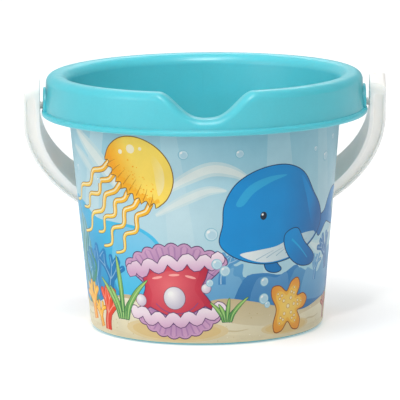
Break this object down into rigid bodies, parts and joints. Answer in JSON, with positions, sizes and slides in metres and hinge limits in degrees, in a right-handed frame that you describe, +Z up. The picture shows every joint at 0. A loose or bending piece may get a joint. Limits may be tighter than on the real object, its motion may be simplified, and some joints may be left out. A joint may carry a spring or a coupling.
{
  "type": "sand bucket",
  "caption": "Tapered beach bucket with a rolled collar, pouring spout, printed wrap label and a swinging strap bail.",
  "frame": {"origin": "middle of the foot ring on the ground, on the pail's axis", "axes": "+Z up, -Y towards the pouring spout, X along the bail's pivots"},
  "size_m": [0.2006, 0.18, 0.141],
  "materials": {
    "pail_plastic": "satin turquoise moulding",
    "label_film": "printed film",
    "bail_plastic": "satin white moulding",
    "pin_plastic": "satin white moulding"
  },
  "bodies": {
    "pail": {"pail_shell": "pail_plastic", "wrap_label": "label_film"},
    "bail": {"bail_handle": "bail_plastic", "pivot_pin_left": "pin_plastic", "pivot_pin_right": "pin_plastic"}
  },
  "joints": [
    {"name": "bail_swing", "type": "hinge", "parent": "pail", "child": "bail", "pos_m": [0, 0, 0.1235], "axis": [1, 0, 0], "range_deg": [0, 268]}
  ]
}
